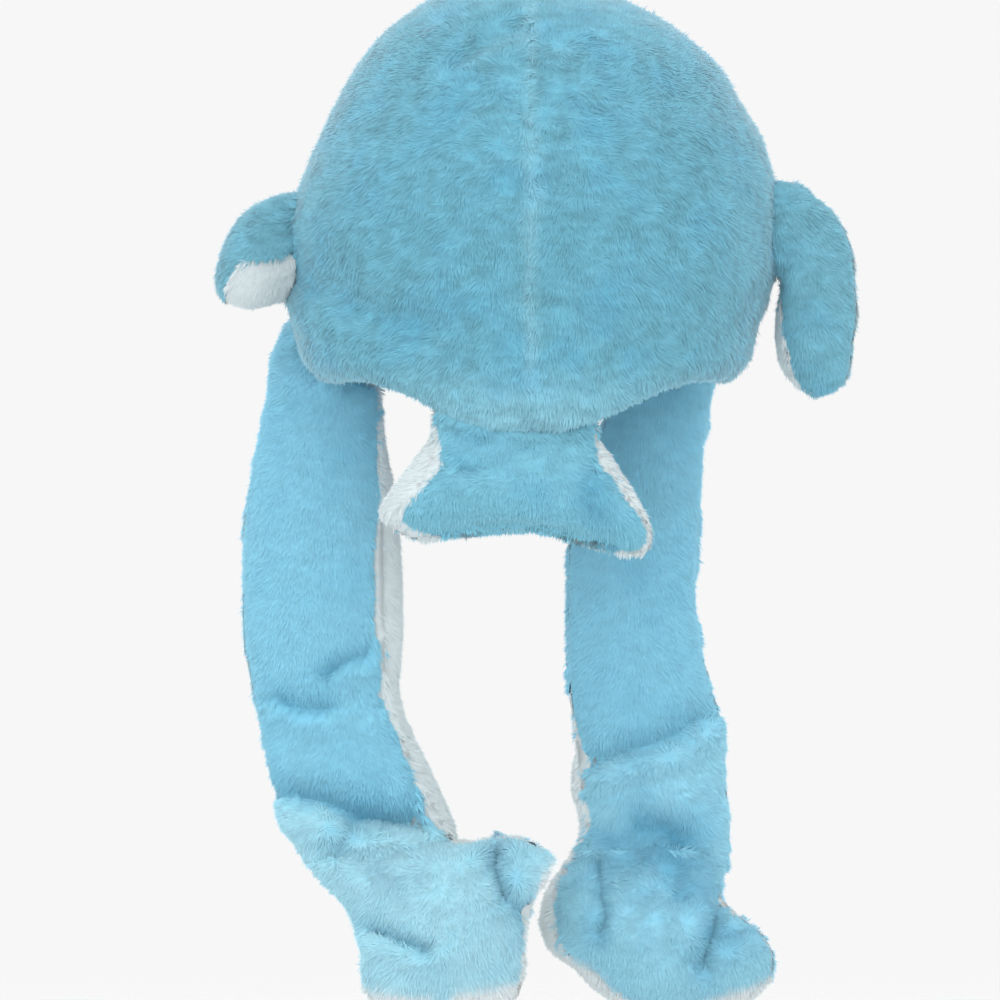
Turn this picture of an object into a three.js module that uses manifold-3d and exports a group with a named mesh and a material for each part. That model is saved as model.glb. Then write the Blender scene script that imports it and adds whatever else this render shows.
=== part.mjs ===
// Plush animal hat seen from its back: a padded crown with an open hollow for the head,
// two drooping side flippers, a fluke tail under the back of the crown and two long arms
// that end in stuffed paws. Millimetres, +Z up, the back of the hat faces -Y.
// The origin is the head's seat, the inner top of the hollow.

import * as THREE from 'three';
import Module from 'manifold-3d';

const wasm = await Module();
wasm.setup();

// Crown sizes
const crownWidth = 286;
const crownDepth = 270;
const crownHeight = 261;
const topPadding = 48;
const sideLift = 36;
const frontLift = 56;

// Hollow for the head, measured at the rim
const hollowWidth = 176;
const hollowDepth = 204;

// Arm sizes, the same for both arms
const armLength = 272;
const armWidth = 96;
const armThickness = 44;

// Paw sizes, the same for both paws
const pawLength = 92;
const pawWidth = 132;
const pawThickness = 52;

// Tail sizes
const tailLength = 70;
const tailSpan = 164;
const tailThickness = 44;

// Flipper sizes, for the right one and for the left one, which is curled up
const flipperLength = 118;
const flipperWidth = 62;
const flipperThickness = 34;
const curledLength = 84;
const curledWidth = 60;
const curledThickness = 58;

// Clear space between pieces that are sewn together
const seamGap = 0.3;

// Mesh fineness
const crownArcSteps = 18;
const hollowSteps = 8;
const rimSteps = 5;
const panelArcSteps = 9;
const stepsPerRow = 2;
const filledRimSteps = 3;
const straightChordSteps = 1;
const bowedChordSteps = 6;

// Where each limb starts on the crown: x is a share of its width, y of its depth, and up a
// share of its height above its lowest point
const leftArmStart = { x: -0.423, y: 0.09, up: 0.1 };
const rightArmStart = { x: 0.21, y: 0.26, up: 0.01 };
const tailStart = { x: -0.033, y: -0.35, up: 0 };
const rightFlipperStart = { x: 0.49, y: -0.03, up: 0.5 };
const leftFlipperStart = { x: -0.475, y: -0.03, up: 0.44 };

// The rim starts to rise in this lower share of the crown, and reaches its side height
// between these shares of the way from the middle of the back to the side
const liftStart = 0.5;
const sideRiseStart = 0.1;
const sideRiseEnd = 0.9;

// Folds fade out towards the sides, from this share of the crown's depth behind its middle
const foldFade = 0.25;

// How full the hollow is under its top: 1 is an ellipse, less is fuller
const hollowFullness = 0.7;

// Crown outline from the top down. down is a share of the crown's height, left and right
// are shares of half its width, back and front are shares of half its depth.
const crownRows = [
  { down: 0.008, left: 0.22, right: 0.2, back: 0.22, front: 0.22 },
  { down: 0.03, left: 0.42, right: 0.39, back: 0.4, front: 0.4 },
  { down: 0.075, left: 0.54, right: 0.55, back: 0.55, front: 0.54 },
  { down: 0.12, left: 0.63, right: 0.66, back: 0.65, front: 0.64 },
  { down: 0.18, left: 0.71, right: 0.78, back: 0.75, front: 0.74 },
  { down: 0.25, left: 0.785, right: 0.85, back: 0.835, front: 0.82 },
  { down: 0.34, left: 0.86, right: 0.95, back: 0.92, front: 0.9 },
  { down: 0.43, left: 0.93, right: 0.995, back: 0.975, front: 0.95 },
  { down: 0.52, left: 0.99, right: 1, back: 1, front: 0.985 },
  { down: 0.61, left: 1, right: 0.995, back: 1, front: 1 },
  { down: 0.7, left: 1, right: 0.99, back: 0.99, front: 0.99 },
  { down: 0.79, left: 0.995, right: 0.97, back: 0.97, front: 0.965 },
  { down: 0.865, left: 0.965, right: 0.93, back: 0.94, front: 0.94 },
];

// Folds and dents in the back of the crown. x is a share of half its width, down a share
// of its height, reach and depth are shares of its padding.
const crownFolds = [
  { fromX: -0.02, fromDown: 0.09, toX: -0.3, toDown: 0.175, reach: 0.2, depth: 0.1 },
  { fromX: -0.96, fromDown: 0.64, toX: -0.44, toDown: 0.76, reach: 0.42, depth: 0.14 },
  { fromX: -0.44, fromDown: 0.76, toX: 0.16, toDown: 0.82, reach: 0.42, depth: 0.09 },
  { fromX: 0.86, fromDown: 0.36, toX: 0.9, toDown: 0.8, reach: 0.24, depth: 0.06 },
  { fromX: 0, fromDown: 0.05, toX: 0, toDown: 1, reach: 0.14, depth: 0.05 },
];

// Left arm from the crown down to the paw. across and down place the section's middle as
// shares of the arm's length, near moves it towards the back of the hat by shares of the
// thickness, wide and thick are shares of the arm's width and thickness, tilt raises the
// section's right end in degrees. The blue outer panel runs from seamRight to seamLeft,
// in degrees round the section from its right edge over the back.
const leftArmRows = [
  { across: 0.045, down: -0.21, near: -0.3, wide: 0.5, thick: 0.66, tilt: -2, seamRight: 14, seamLeft: 192 },
  { across: 0.012, down: -0.1, near: -0.15, wide: 0.68, thick: 0.76, tilt: -2, seamRight: 16, seamLeft: 190 },
  { across: 0.005, down: 0.0, near: 0, wide: 0.72, thick: 0.84, tilt: -2, seamRight: 20, seamLeft: 186 },
  { across: 0, down: 0.115, near: 0.1, wide: 0.82, thick: 0.92, tilt: 0, seamRight: 30, seamLeft: 184 },
  { across: 0, down: 0.245, near: 0.15, wide: 0.95, thick: 0.98, tilt: 0, seamRight: 38, seamLeft: 182 },
  { across: 0.003, down: 0.39, near: 0.15, wide: 1, thick: 1, tilt: 0, seamRight: 42, seamLeft: 180 },
  { across: 0.004, down: 0.52, near: 0.12, wide: 1, thick: 1, tilt: 0, seamRight: 42, seamLeft: 180 },
  { across: 0.008, down: 0.63, near: 0.08, wide: 0.925, thick: 0.94, tilt: -2, seamRight: 36, seamLeft: 180 },
  { across: 0.028, down: 0.715, near: 0.05, wide: 0.92, thick: 0.94, tilt: 3, seamRight: 34, seamLeft: 180 },
  { across: 0.06, down: 0.81, near: 0.1, wide: 0.99, thick: 1, tilt: 4, seamRight: 36, seamLeft: 180 },
  { across: 0.102, down: 0.915, near: 0.22, wide: 1.02, thick: 1, tilt: 7, seamRight: 34, seamLeft: 180 },
  { across: 0.13, down: 0.978, near: 0.34, wide: 0.96, thick: 0.94, tilt: 9, seamRight: 22, seamLeft: 184 },
];

// Right arm, in the same columns
const rightArmRows = [
  { across: 0.1, down: -0.2, near: 0, wide: 0.62, thick: 0.72, tilt: 3, seamRight: 0, seamLeft: 170 },
  { across: 0.072, down: -0.09, near: 0, wide: 0.64, thick: 0.8, tilt: 2, seamRight: 0, seamLeft: 170 },
  { across: 0.046, down: 0.0, near: 0, wide: 0.68, thick: 0.86, tilt: 0, seamRight: 0, seamLeft: 172 },
  { across: 0.024, down: 0.12, near: 0, wide: 0.76, thick: 0.94, tilt: 0, seamRight: 0, seamLeft: 174 },
  { across: 0.006, down: 0.245, near: 0, wide: 0.81, thick: 0.98, tilt: 0, seamRight: 0, seamLeft: 174 },
  { across: 0.002, down: 0.375, near: 0, wide: 0.82, thick: 1, tilt: 0, seamRight: 0, seamLeft: 174 },
  { across: 0.01, down: 0.485, near: 0, wide: 0.86, thick: 1, tilt: 0, seamRight: 0, seamLeft: 172 },
  { across: 0.027, down: 0.59, near: 0.04, wide: 0.93, thick: 1, tilt: 0, seamRight: 0, seamLeft: 168 },
  { across: 0.04, down: 0.68, near: 0.1, wide: 0.95, thick: 1, tilt: 0, seamRight: 0, seamLeft: 160 },
  { across: 0.035, down: 0.765, near: 0.14, wide: 0.98, thick: 1, tilt: 1, seamRight: 0, seamLeft: 148 },
  { across: 0.05, down: 0.84, near: 0.22, wide: 0.95, thick: 0.96, tilt: 1, seamRight: 0, seamLeft: 152 },
  { across: 0.043, down: 0.9, near: 0.3, wide: 0.98, thick: 0.94, tilt: 0, seamRight: 0, seamLeft: 160 },
];

// Left paw, from the arm's end. across and down are shares of the paw's length, wide and
// thick are shares of the paw's width and thickness.
const leftPawRows = [
  { across: 0.12, down: 0.07, near: 0.16, wide: 0.7, thick: 0.86, tilt: 17, seamRight: 14, seamLeft: 186 },
  { across: 0.29, down: 0.125, near: 0.3, wide: 0.8, thick: 0.96, tilt: 25, seamRight: 8, seamLeft: 190 },
  { across: 0.42, down: 0.255, near: 0.42, wide: 0.9, thick: 1, tilt: 29, seamRight: 6, seamLeft: 192 },
  { across: 0.46, down: 0.39, near: 0.5, wide: 0.99, thick: 1, tilt: 30, seamRight: 4, seamLeft: 190 },
  { across: 0.46, down: 0.515, near: 0.54, wide: 0.935, thick: 0.98, tilt: 33, seamRight: 10, seamLeft: 176 },
  { across: 0.47, down: 0.645, near: 0.54, wide: 0.84, thick: 0.92, tilt: 35, seamRight: 14, seamLeft: 160 },
  { across: 0.56, down: 0.785, near: 0.48, wide: 0.64, thick: 0.78, tilt: 37, seamRight: 18, seamLeft: 148 },
  { across: 0.68, down: 0.9, near: 0.38, wide: 0.42, thick: 0.58, tilt: 36, seamRight: 22, seamLeft: 146 },
  { across: 0.77, down: 0.985, near: 0.26, wide: 0.17, thick: 0.3, tilt: 35, seamRight: 24, seamLeft: 146 },
];

// Right paw, in the same columns
const rightPawRows = [
  { across: -0.06, down: 0.12, near: 0.12, wide: 0.75, thick: 0.88, tilt: -1, seamRight: 0, seamLeft: 160 },
  { across: -0.12, down: 0.26, near: 0.24, wide: 0.8, thick: 0.96, tilt: -1, seamRight: 0, seamLeft: 154 },
  { across: -0.12, down: 0.375, near: 0.34, wide: 0.86, thick: 1, tilt: 2, seamRight: 0, seamLeft: 150 },
  { across: -0.03, down: 0.505, near: 0.42, wide: 0.97, thick: 1, tilt: 2, seamRight: 4, seamLeft: 150 },
  { across: 0.06, down: 0.635, near: 0.48, wide: 1, thick: 0.98, tilt: 2, seamRight: 8, seamLeft: 148 },
  { across: 0.13, down: 0.75, near: 0.5, wide: 0.92, thick: 0.9, tilt: -1, seamRight: 12, seamLeft: 146 },
  { across: 0.155, down: 0.87, near: 0.48, wide: 0.8, thick: 0.78, tilt: -1, seamRight: 18, seamLeft: 142 },
  { across: 0.165, down: 0.98, near: 0.4, wide: 0.6, thick: 0.58, tilt: 0, seamRight: 22, seamLeft: 140 },
  { across: 0.16, down: 1.06, near: 0.28, wide: 0.3, thick: 0.3, tilt: 1, seamRight: 24, seamLeft: 140 },
];

// Tail. bow lowers the section's ends below its middle by shares of the tail's length.
const tailRows = [
  { across: 0, down: -0.42, near: 0, wide: 0.56, thick: 0.84, tilt: 0, bow: 0, seamRight: 6, seamLeft: 172 },
  { across: 0, down: -0.12, near: 0, wide: 0.58, thick: 0.9, tilt: 0, bow: 0, seamRight: 10, seamLeft: 168 },
  { across: 0, down: 0.03, near: 0, wide: 0.61, thick: 0.94, tilt: 1, bow: 0, seamRight: 20, seamLeft: 154 },
  { across: -0.015, down: 0.15, near: 0.02, wide: 0.685, thick: 0.98, tilt: 1, bow: 0, seamRight: 26, seamLeft: 144 },
  { across: -0.02, down: 0.295, near: 0.05, wide: 0.775, thick: 1, tilt: 1, bow: 0.01, seamRight: 26, seamLeft: 142 },
  { across: -0.01, down: 0.44, near: 0.08, wide: 0.875, thick: 1, tilt: -1, bow: 0.03, seamRight: 24, seamLeft: 143 },
  { across: -0.005, down: 0.55, near: 0.1, wide: 0.95, thick: 0.92, tilt: -2, bow: 0.07, seamRight: 18, seamLeft: 148 },
  { across: 0.03, down: 0.62, near: 0.1, wide: 0.96, thick: 0.78, tilt: -3, bow: 0.14, seamRight: 12, seamLeft: 158 },
  { across: 0.08, down: 0.665, near: 0.08, wide: 0.88, thick: 0.56, tilt: -4, bow: 0.2, seamRight: 8, seamLeft: 168 },
  { across: 0.1, down: 0.69, near: 0.06, wide: 0.74, thick: 0.3, tilt: -4, bow: 0.23, seamRight: 4, seamLeft: 176 },
];

// Right flipper, hanging beside the crown
const rightFlipperRows = [
  { across: -0.12, down: 0.02, near: 0.1, wide: 0.78, thick: 0.9, tilt: 88, seamRight: 4, seamLeft: 176 },
  { across: 0.07, down: 0.09, near: 0.1, wide: 0.9, thick: 0.96, tilt: 82, seamRight: 2, seamLeft: 172 },
  { across: 0.15, down: 0.215, near: 0.06, wide: 1.02, thick: 1, tilt: 61, seamRight: 0, seamLeft: 164 },
  { across: 0.19, down: 0.325, near: 0, wide: 1.03, thick: 1, tilt: 46, seamRight: 0, seamLeft: 152 },
  { across: 0.205, down: 0.47, near: -0.06, wide: 0.95, thick: 1, tilt: 35, seamRight: 0, seamLeft: 146 },
  { across: 0.215, down: 0.6, near: -0.12, wide: 0.86, thick: 0.94, tilt: 26, seamRight: 0, seamLeft: 144 },
  { across: 0.22, down: 0.73, near: -0.18, wide: 0.71, thick: 0.84, tilt: 18, seamRight: 0, seamLeft: 144 },
  { across: 0.24, down: 0.835, near: -0.22, wide: 0.53, thick: 0.66, tilt: 11, seamRight: 0, seamLeft: 148 },
  { across: 0.246, down: 0.9, near: -0.24, wide: 0.24, thick: 0.36, tilt: 8, seamRight: 0, seamLeft: 152 },
];

// Left flipper, curled so that its white underside turns to the back
const leftFlipperRows = [
  { across: 0.2, down: -0.1, near: 0.1, wide: 0.76, thick: 0.76, tilt: -88, seamRight: 78, seamLeft: 262 },
  { across: 0.0, down: 0.02, near: 0.12, wide: 0.96, thick: 0.86, tilt: -88, seamRight: 78, seamLeft: 262 },
  { across: -0.13, down: 0.08, near: 0.14, wide: 0.99, thick: 0.96, tilt: -78, seamRight: 82, seamLeft: 264 },
  { across: -0.25, down: 0.15, near: 0.14, wide: 0.92, thick: 1, tilt: -69, seamRight: 92, seamLeft: 268 },
  { across: -0.34, down: 0.24, near: 0.12, wide: 0.77, thick: 0.94, tilt: -60, seamRight: 98, seamLeft: 270 },
  { across: -0.41, down: 0.34, near: 0.08, wide: 0.57, thick: 0.8, tilt: -51, seamRight: 100, seamLeft: 268 },
  { across: -0.46, down: 0.4, near: 0.05, wide: 0.36, thick: 0.58, tilt: -42, seamRight: 96, seamLeft: 264 },
  { across: -0.49, down: 0.425, near: 0.03, wide: 0.18, thick: 0.32, tilt: -36, seamRight: 92, seamLeft: 262 },
];

// Folds across the arms and paws. at is the table row that the fold crosses, slope turns
// it by rows per half width, middle and span place it across the section by shares of half
// its width, reach is in rows and depth a share of the thickness.
const leftArmFolds = [
  { at: 7.4, slope: 0.3, middle: 0.35, span: 0.5, reach: 0.4, depth: 0.14 },
  { at: 8.5, slope: 0.1, middle: -0.45, span: 0.5, reach: 0.4, depth: 0.13 },
  { at: 10.2, slope: 0.2, middle: 0, span: 1.3, reach: 0.42, depth: 0.2 },
];
const rightArmFolds = [
  { at: 8.3, slope: -0.5, middle: 0.2, span: 0.9, reach: 0.45, depth: 0.16 },
  { at: 10.5, slope: -0.1, middle: 0.2, span: 0.6, reach: 0.4, depth: 0.16 },
];
const leftPawFolds = [
  { at: 2.2, slope: 1.6, middle: 0.62, span: 0.4, reach: 0.5, depth: 0.16 },
  { at: 4.6, slope: -0.6, middle: -0.6, span: 0.4, reach: 0.5, depth: 0.12 },
];
const rightPawFolds = [
  { at: 1.8, slope: 2, middle: -0.45, span: 0.3, reach: 0.6, depth: 0.14 },
  { at: 5, slope: 2.4, middle: 0.5, span: 0.3, reach: 0.7, depth: 0.14 },
];
const tailFolds = [
  { at: 3.2, slope: -1, middle: -0.4, span: 0.5, reach: 0.5, depth: 0.14 },
];
const noFolds = [];

// Colours of the short plush
const outerPlush = { color: 0x7fbfdc, roughness: 0.95, metalness: 0 };
const crownPlush = { color: 0x72b4d0, roughness: 0.95, metalness: 0 };
const underPlush = { color: 0xe8ebec, roughness: 0.95, metalness: 0 };

// One column of a table, read smoothly between its rows
function readColumn(rows, name, place) {
  const last = rows.length - 1;
  const low = Math.min(Math.max(Math.floor(place), 0), last - 1);
  const share = place - low;
  const value = (index) => rows[Math.min(Math.max(index, 0), last)][name] ?? 0;
  const before = value(low - 1);
  const start = value(low);
  const end = value(low + 1);
  const after = value(low + 2);
  const startSlope = (end - before) / 2;
  const endSlope = (after - start) / 2;
  const square = share * share;
  const cube = square * share;
  return start * (2 * cube - 3 * square + 1) + startSlope * (cube - 2 * square + share)
    + end * (3 * square - 2 * cube) + endSlope * (cube - square);
}

// A bell that is one in the middle and fades within its reach
function bell(distance, reach) {
  return Math.exp(-((distance / reach) ** 2));
}

// A geometry from points and triangles, turned so that its faces point out
function bodyGeometry(points, triangles) {
  let volume = 0;
  for (const [a, b, c] of triangles) {
    volume += points[a].dot(points[b].clone().cross(points[c]));
  }
  const facing = volume > 0 ? triangles : triangles.map(([a, b, c]) => [a, c, b]);
  const geometry = new THREE.BufferGeometry();
  geometry.setAttribute('position', new THREE.Float32BufferAttribute(points.flatMap((p) => p.toArray()), 3));
  geometry.setIndex(facing.flat());
  return geometry;
}

// A body through closed sections with as many points each, with a fan over both ends
function loftedBody(sections) {
  const points = sections.flat();
  const count = sections[0].length;
  const triangles = [];
  for (let row = 0; row < sections.length - 1; row += 1) {
    for (let i = 0; i < count; i += 1) {
      const a = row * count + i;
      const b = row * count + ((i + 1) % count);
      triangles.push([a, b, a + count], [b, b + count, a + count]);
    }
  }
  for (const [row, flip] of [[0, true], [sections.length - 1, false]]) {
    const middle = points.length;
    const centre = sections[row].reduce((sum, point) => sum.add(point), new THREE.Vector3());
    points.push(centre.divideScalar(count));
    for (let i = 0; i < count; i += 1) {
      const a = row * count + i;
      const b = row * count + ((i + 1) % count);
      triangles.push(flip ? [b, a, middle] : [a, b, middle]);
    }
  }
  return bodyGeometry(points, triangles);
}

// How far the rim rises from the back of the hat to the place at this angle
function rimRise(angle) {
  const towardsSide = THREE.MathUtils.smoothstep(Math.abs(Math.cos(angle)), sideRiseStart, sideRiseEnd);
  const towardsFront = Math.max(0, Math.sin(angle)) ** 2;
  return sideLift * towardsSide + frontLift * towardsFront;
}

// How deep the crown's folds press a point of its back, from its place in the view
function foldDepth(x, z) {
  const padding = (crownDepth - hollowDepth) / 2;
  let depth = 0;
  for (const fold of crownFolds) {
    const start = new THREE.Vector2(fold.fromX * crownWidth / 2, topPadding - fold.fromDown * crownHeight);
    const end = new THREE.Vector2(fold.toX * crownWidth / 2, topPadding - fold.toDown * crownHeight);
    const along = end.clone().sub(start);
    const from = new THREE.Vector2(x, z).sub(start);
    const share = THREE.MathUtils.clamp(from.dot(along) / along.lengthSq(), 0, 1);
    const distance = from.distanceTo(along.multiplyScalar(share));
    depth += fold.depth * padding * bell(distance, fold.reach * padding);
  }
  return depth;
}

// A point of the crown's outside, at a table row and an angle from +X towards the front
function crownPoint(place, angle, clearance) {
  const down = readColumn(crownRows, 'down', place);
  const sideways = Math.cos(angle) < 0 ? 'left' : 'right';
  const lengthways = Math.sin(angle) < 0 ? 'back' : 'front';
  const x = Math.cos(angle) * readColumn(crownRows, sideways, place) * crownWidth / 2;
  const y = Math.sin(angle) * readColumn(crownRows, lengthways, place) * crownDepth / 2;
  const lifted = THREE.MathUtils.smoothstep(down, liftStart, 1);
  const z = topPadding - down * crownHeight + rimRise(angle) * lifted;
  const reach = Math.hypot(x, y) || 1;
  const pressed = y < 0 ? foldDepth(x, z) * Math.min(1, -y / (foldFade * crownDepth)) : 0;
  const outwards = (reach - pressed + clearance) / reach;
  return new THREE.Vector3(x * outwards, y * outwards, z);
}

// A point on the rounded rim, from the outside at share 0 to the hollow at share 1
function rimPoint(share, angle, clearance) {
  const edge = crownPoint(crownRows.length - 1, angle, clearance);
  const inner = new THREE.Vector2(Math.cos(angle) * hollowWidth / 2, Math.sin(angle) * hollowDepth / 2);
  const middle = new THREE.Vector2(edge.x, edge.y).add(inner).divideScalar(2);
  const half = new THREE.Vector2(edge.x, edge.y).sub(inner).divideScalar(2);
  const turn = share * Math.PI;
  const spot = middle.addScaledVector(half, Math.cos(turn));
  const rimRoll = (1 - crownRows[crownRows.length - 1].down) * crownHeight;
  return new THREE.Vector3(spot.x, spot.y, edge.z - (rimRoll + clearance) * Math.sin(turn));
}

// A point of the hollow's wall, from the rim at share 0 to the head's seat at share 1
function hollowPoint(share, angle) {
  const rim = rimPoint(1, angle, 0);
  const turn = share * Math.PI / 2;
  const width = Math.cos(turn) ** hollowFullness;
  return new THREE.Vector3(rim.x * width, rim.y * width, rim.z * (1 - Math.sin(turn)));
}

// One half of the crown, with side -1 for the left half and 1 for the right half. A line
// runs down the outside, round the rim and up the hollow, once for each angle, and the
// flat face on the centre seam joins the outside to the hollow.
function crownHalf(side) {
  const outerCount = crownRows.length + rimSteps - 1;
  const line = (angle) => {
    const found = crownRows.map((row, index) => crownPoint(index, angle, 0));
    for (let i = 1; i < rimSteps; i += 1) {
      found.push(rimPoint(i / rimSteps, angle, 0));
    }
    for (let i = 0; i < hollowSteps; i += 1) {
      found.push(hollowPoint(i / hollowSteps, angle));
    }
    return found;
  };
  const offset = new THREE.Vector3(side * seamGap / 2, 0, 0);
  const points = [new THREE.Vector3(0, 0, topPadding).add(offset), offset.clone()];
  const [top, seat] = [0, 1];
  const lines = [];
  for (let step = 0; step <= crownArcSteps; step += 1) {
    const angle = -side * Math.PI / 2 + Math.PI * step / crownArcSteps;
    const found = line(angle);
    if (step === 0 || step === crownArcSteps) {
      found.forEach((point) => point.setX(0));
    }
    lines.push(found.map((point) => points.push(point.add(offset)) - 1));
  }
  const triangles = [];
  const lineLength = lines[0].length;
  for (let step = 0; step < crownArcSteps; step += 1) {
    const near = lines[step];
    const far = lines[step + 1];
    triangles.push([top, near[0], far[0]], [seat, far[lineLength - 1], near[lineLength - 1]]);
    for (let i = 0; i < lineLength - 1; i += 1) {
      triangles.push([near[i], near[i + 1], far[i]], [near[i + 1], far[i + 1], far[i]]);
    }
  }
  for (const [edge, isLast] of [[lines[0], false], [lines[crownArcSteps], true]]) {
    const outside = [top, ...edge.slice(0, outerCount)];
    const inside = [seat, ...edge.slice(outerCount).reverse()];
    for (const triangle of seamStrip(outside, inside, points)) {
      triangles.push(isLast ? triangle.reverse() : triangle);
    }
  }
  return bodyGeometry(points, triangles);
}

// Triangles between two lines of points that meet at their far ends
function seamStrip(outside, inside, points) {
  const triangles = [];
  let i = 0;
  let j = 0;
  while (i < outside.length - 1 || j < inside.length - 1) {
    const stepOut = outside[i + 1];
    const stepIn = inside[j + 1];
    const outLength = stepOut === undefined ? Infinity : points[stepOut].distanceTo(points[inside[j]]);
    const inLength = stepIn === undefined ? Infinity : points[stepIn].distanceTo(points[outside[i]]);
    if (outLength < inLength) {
      triangles.push([outside[i], inside[j], stepOut]);
      i += 1;
    } else {
      triangles.push([outside[i], inside[j], stepIn]);
      j += 1;
    }
  }
  return triangles;
}

// The crown's outer form with its hollow filled and the seam's clearance round it. What is
// sewn to the crown is cut with it, so that it lies against the crown.
function filledCrown() {
  const steps = 2 * crownArcSteps;
  const ring = (pointAt) => {
    const found = [];
    for (let step = 0; step < steps; step += 1) {
      found.push(pointAt(-Math.PI / 2 + 2 * Math.PI * step / steps));
    }
    return found;
  };
  const rings = crownRows.map((row, index) => ring((angle) => crownPoint(index, angle, seamGap)));
  for (let i = 1; i <= filledRimSteps; i += 1) {
    rings.push(ring((angle) => rimPoint(i / rimSteps, angle, seamGap)));
  }
  return solidOf(loftedBody(rings));
}

// A closed geometry as a solid that can be cut, and back
function solidOf(geometry) {
  const vertProperties = new Float32Array(geometry.getAttribute('position').array);
  const triVerts = new Uint32Array(geometry.getIndex().array);
  return new wasm.Manifold(new wasm.Mesh({ numProp: 3, vertProperties, triVerts }));
}

function geometryOf(solid) {
  const mesh = solid.getMesh();
  const geometry = new THREE.BufferGeometry();
  geometry.setAttribute('position', new THREE.Float32BufferAttribute(mesh.vertProperties, 3));
  geometry.setIndex(Array.from(mesh.triVerts));
  return geometry;
}

// One section of a stuffed panel. The outer panel takes the arc over the back of the
// section, the underside the rest, and each is closed by the chord between the seams.
function panelSection(limb, place, isOuter) {
  const column = (name) => readColumn(limb.rows, name, place);
  const halfWidth = column('wide') * limb.width / 2;
  const halfThick = column('thick') * limb.thickness / 2;
  const tilt = THREE.MathUtils.degToRad(column('tilt'));
  const across = new THREE.Vector3(Math.cos(tilt), 0, Math.sin(tilt));
  const downwards = new THREE.Vector3(Math.sin(tilt), 0, -Math.cos(tilt));
  const near = new THREE.Vector3(0, -1, 0);
  const middle = limb.start.clone();
  middle.x += column('across') * limb.length;
  middle.y -= column('near') * limb.thickness;
  middle.z -= column('down') * limb.length;
  const right = THREE.MathUtils.degToRad(column('seamRight'));
  const left = THREE.MathUtils.degToRad(column('seamLeft'));
  const from = isOuter ? right : right + 2 * Math.PI;
  const to = left;
  const spot = (angle) => {
    const p = Math.cos(angle);
    let press = 0;
    for (const fold of limb.folds) {
      const lengthways = place - fold.at - fold.slope * p;
      press += fold.depth * bell(lengthways, fold.reach) * bell(p - fold.middle, fold.span);
    }
    const q = Math.sin(angle) > 0 ? Math.sin(angle) * (1 - press) : Math.sin(angle);
    return new THREE.Vector2(p * halfWidth, q * halfThick);
  };
  const chord = spot(to).sub(spot(from)).normalize();
  const clear = new THREE.Vector2(-chord.y, chord.x).multiplyScalar(seamGap / 2);
  const bulge = spot((from + to) / 2).sub(spot(from));
  if (bulge.dot(clear) < 0) {
    clear.negate();
  }
  const spots = [];
  for (let step = 0; step <= panelArcSteps; step += 1) {
    spots.push(spot(from + (to - from) * step / panelArcSteps));
  }
  for (let step = 1; step < limb.chordSteps; step += 1) {
    spots.push(spot(to).lerp(spot(from), step / limb.chordSteps));
  }
  const bow = column('bow') * limb.length;
  return spots.map((found) => {
    const lowered = bow * (found.x / halfWidth) ** 2;
    found.add(clear);
    return middle.clone().addScaledVector(across, found.x).addScaledVector(near, found.y)
      .addScaledVector(downwards, lowered);
  });
}

// A stuffed panel from one table row to another
function panel(limb, isOuter) {
  const sections = [];
  for (let step = 0; step <= (limb.rows.length - 1) * stepsPerRow; step += 1) {
    sections.push(panelSection(limb, step / stepsPerRow, isOuter));
  }
  return loftedBody(sections);
}

// Joins the arm's last section to the paw's table, so that the paw starts with the same
// section, a seam's clearance further down
function pawFromArm(arm, rows, folds) {
  const end = arm.rows[arm.rows.length - 1];
  const start = arm.start.clone();
  start.x += end.across * arm.length;
  start.y -= end.near * arm.thickness;
  start.z -= end.down * arm.length + seamGap;
  const first = {
    ...end,
    across: 0,
    down: 0,
    near: 0,
    wide: end.wide * arm.width / pawWidth,
    thick: end.thick * arm.thickness / pawThickness,
  };
  return {
    start,
    rows: [first, ...rows],
    folds,
    length: pawLength,
    width: pawWidth,
    thickness: pawThickness,
    chordSteps: straightChordSteps,
  };
}

// A limb's start as a point
function startPoint({ x, y, up }) {
  return new THREE.Vector3(x * crownWidth, y * crownDepth, topPadding - (1 - up) * crownHeight);
}

const leftArm = {
  start: startPoint(leftArmStart),
  rows: leftArmRows,
  folds: leftArmFolds,
  length: armLength,
  width: armWidth,
  thickness: armThickness,
  chordSteps: straightChordSteps,
};
const rightArm = { ...leftArm, start: startPoint(rightArmStart), rows: rightArmRows, folds: rightArmFolds };
const tail = {
  start: startPoint(tailStart),
  rows: tailRows,
  folds: tailFolds,
  length: tailLength,
  width: tailSpan,
  thickness: tailThickness,
  chordSteps: bowedChordSteps,
};
const rightFlipper = {
  start: startPoint(rightFlipperStart),
  rows: rightFlipperRows,
  folds: noFolds,
  length: flipperLength,
  width: flipperWidth,
  thickness: flipperThickness,
  chordSteps: straightChordSteps,
};
const leftFlipper = {
  start: startPoint(leftFlipperStart),
  rows: leftFlipperRows,
  folds: noFolds,
  length: curledLength,
  width: curledWidth,
  thickness: curledThickness,
  chordSteps: straightChordSteps,
};
const leftPaw = pawFromArm(leftArm, leftPawRows, leftPawFolds);
const rightPaw = pawFromArm(rightArm, rightPawRows, rightPawFolds);

const hat = new THREE.Group();

function addPiece(name, geometry, plush) {
  geometry.computeVertexNormals();
  const piece = new THREE.Mesh(geometry, new THREE.MeshStandardMaterial(plush));
  piece.name = name;
  hat.add(piece);
}

addPiece('crown_left', crownHalf(-1), crownPlush);
addPiece('crown_right', crownHalf(1), crownPlush);

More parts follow.
